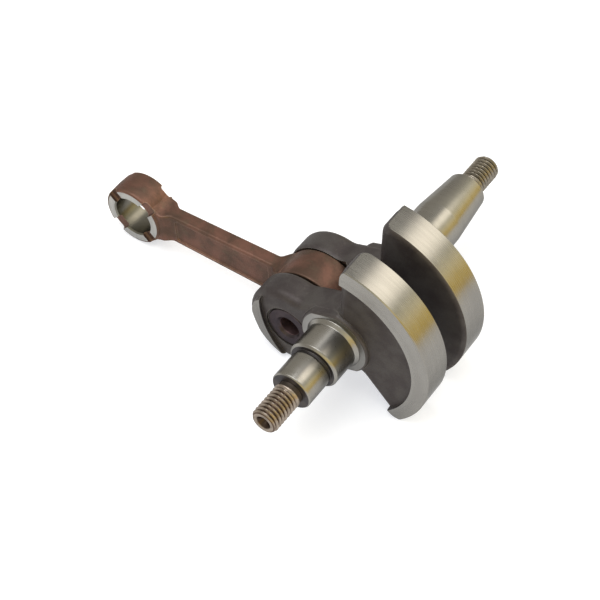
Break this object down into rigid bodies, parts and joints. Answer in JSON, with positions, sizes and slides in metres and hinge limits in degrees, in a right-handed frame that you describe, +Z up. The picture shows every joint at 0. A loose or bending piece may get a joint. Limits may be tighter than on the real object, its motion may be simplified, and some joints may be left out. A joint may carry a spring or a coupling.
{
  "type": "crankshaft",
  "caption": "Pressed-up two-stroke crankshaft: webs with counterweights, stepped and tapered threaded shafts, hollow crankpin and a connecting rod on a needle bearing.",
  "frame": {"origin": "middle of the footprint, on the surface that the webs' corners and the small end rest on", "axes": "+Y along the main axis from the stepped threaded end to the tapered end, -X towards the rod's small end, +Z up"},
  "size_m": [0.1174, 0.112, 0.0483],
  "materials": {
    "forged_and_turned_steel": "dark forging skin with bright turned rims, shafts and threads",
    "blued_pin_steel": "ground, hardened and heat-tinted",
    "copper_washed_rod_steel": "forged with a thin copper wash, bright where machined",
    "cage_steel": "matte sheet steel",
    "roller_steel": "ground and polished bearing steel"
  },
  "bodies": {
    "crank": {"crank_half_front": "forged_and_turned_steel", "crank_half_rear": "forged_and_turned_steel", "crankpin": "blued_pin_steel"},
    "rod": {"connecting_rod": "copper_washed_rod_steel"},
    "cage": {"big_end_cage": "cage_steel"},
    "roller_01": {"needle_roller_01": "roller_steel"},
    "roller_02": {"needle_roller_02": "roller_steel"},
    "roller_03": {"needle_roller_03": "roller_steel"},
    "roller_04": {"needle_roller_04": "roller_steel"},
    "roller_05": {"needle_roller_05": "roller_steel"},
    "roller_06": {"needle_roller_06": "roller_steel"},
    "roller_07": {"needle_roller_07": "roller_steel"},
    "roller_08": {"needle_roller_08": "roller_steel"},
    "roller_09": {"needle_roller_09": "roller_steel"},
    "roller_10": {"needle_roller_10": "roller_steel"},
    "roller_11": {"needle_roller_11": "roller_steel"},
    "roller_12": {"needle_roller_12": "roller_steel"},
    "roller_13": {"needle_roller_13": "roller_steel"},
    "roller_14": {"needle_roller_14": "roller_steel"},
    "roller_15": {"needle_roller_15": "roller_steel"}
  },
  "joints": [
    {"name": "rod_swing", "type": "hinge", "parent": "crank", "child": "rod", "pos_m": [0.01394, -0.00875, 0.013], "axis": [0, 1, 0], "continuous": true},
    {"name": "cage_turn", "type": "hinge", "parent": "crank", "child": "cage", "pos_m": [0.01394, -0.00875, 0.013], "axis": [0, 1, 0], "continuous": true},
    {"name": "roller_spin_01", "type": "hinge", "parent": "cage", "child": "roller_01", "pos_m": [0.02168, -0.00875, 0.01338], "axis": [0, 1, 0], "continuous": true},
    {"name": "roller_spin_02", "type": "hinge", "parent": "cage", "child": "roller_02", "pos_m": [0.02085, -0.00875, 0.0165], "axis": [0, 1, 0], "continuous": true},
    {"name": "roller_spin_03", "type": "hinge", "parent": "cage", "child": "roller_03", "pos_m": [0.01883, -0.00875, 0.01901], "axis": [0, 1, 0], "continuous": true},
    {"name": "roller_spin_04", "type": "hinge", "parent": "cage", "child": "roller_04", "pos_m": [0.01597, -0.00875, 0.02048], "axis": [0, 1, 0], "continuous": true},
    {"name": "roller_spin_05", "type": "hinge", "parent": "cage", "child": "roller_05", "pos_m": [0.01275, -0.00875, 0.02066], "axis": [0, 1, 0], "continuous": true},
    {"name": "roller_spin_06", "type": "hinge", "parent": "cage", "child": "roller_06", "pos_m": [0.00974, -0.00875, 0.01951], "axis": [0, 1, 0], "continuous": true},
    {"name": "roller_spin_07", "type": "hinge", "parent": "cage", "child": "roller_07", "pos_m": [0.00745, -0.00875, 0.01724], "axis": [0, 1, 0], "continuous": true},
    {"name": "roller_spin_08", "type": "hinge", "parent": "cage", "child": "roller_08", "pos_m": [0.00629, -0.00875, 0.01424], "axis": [0, 1, 0], "continuous": true},
    {"name": "roller_spin_09", "type": "hinge", "parent": "cage", "child": "roller_09", "pos_m": [0.00645, -0.00875, 0.01102], "axis": [0, 1, 0], "continuous": true},
    {"name": "roller_spin_10", "type": "hinge", "parent": "cage", "child": "roller_10", "pos_m": [0.0079, -0.00875, 0.00814], "axis": [0, 1, 0], "continuous": true},
    {"name": "roller_spin_11", "type": "hinge", "parent": "cage", "child": "roller_11", "pos_m": [0.0104, -0.00875, 0.00611], "axis": [0, 1, 0], "continuous": true},
    {"name": "roller_spin_12", "type": "hinge", "parent": "cage", "child": "roller_12", "pos_m": [0.01351, -0.00875, 0.00526], "axis": [0, 1, 0], "continuous": true},
    {"name": "roller_spin_13", "type": "hinge", "parent": "cage", "child": "roller_13", "pos_m": [0.01669, -0.00875, 0.00576], "axis": [0, 1, 0], "continuous": true},
    {"name": "roller_spin_14", "type": "hinge", "parent": "cage", "child": "roller_14", "pos_m": [0.0194, -0.00875, 0.00751], "axis": [0, 1, 0], "continuous": true},
    {"name": "roller_spin_15", "type": "hinge", "parent": "cage", "child": "roller_15", "pos_m": [0.02116, -0.00875, 0.0102], "axis": [0, 1, 0], "continuous": true}
  ],
  "couplings": [
    {"joint": "cage_turn", "follows": "rod_swing", "ratio": 0.58064},
    {"joint": "roller_spin_01", "follows": "rod_swing", "ratio": 3.0194},
    {"joint": "roller_spin_02", "follows": "rod_swing", "ratio": 3.0194},
    {"joint": "roller_spin_03", "follows": "rod_swing", "ratio": 3.0194},
    {"joint": "roller_spin_04", "follows": "rod_swing", "ratio": 3.0194},
    {"joint": "roller_spin_05", "follows": "rod_swing", "ratio": 3.0194},
    {"joint": "roller_spin_06", "follows": "rod_swing", "ratio": 3.0194},
    {"joint": "roller_spin_07", "follows": "rod_swing", "ratio": 3.0194},
    {"joint": "roller_spin_08", "follows": "rod_swing", "ratio": 3.0194},
    {"joint": "roller_spin_09", "follows": "rod_swing", "ratio": 3.0194},
    {"joint": "roller_spin_10", "follows": "rod_swing", "ratio": 3.0194},
    {"joint": "roller_spin_11", "follows": "rod_swing", "ratio": 3.0194},
    {"joint": "roller_spin_12", "follows": "rod_swing", "ratio": 3.0194},
    {"joint": "roller_spin_13", "follows": "rod_swing", "ratio": 3.0194},
    {"joint": "roller_spin_14", "follows": "rod_swing", "ratio": 3.0194},
    {"joint": "roller_spin_15", "follows": "rod_swing", "ratio": 3.0194}
  ]
}
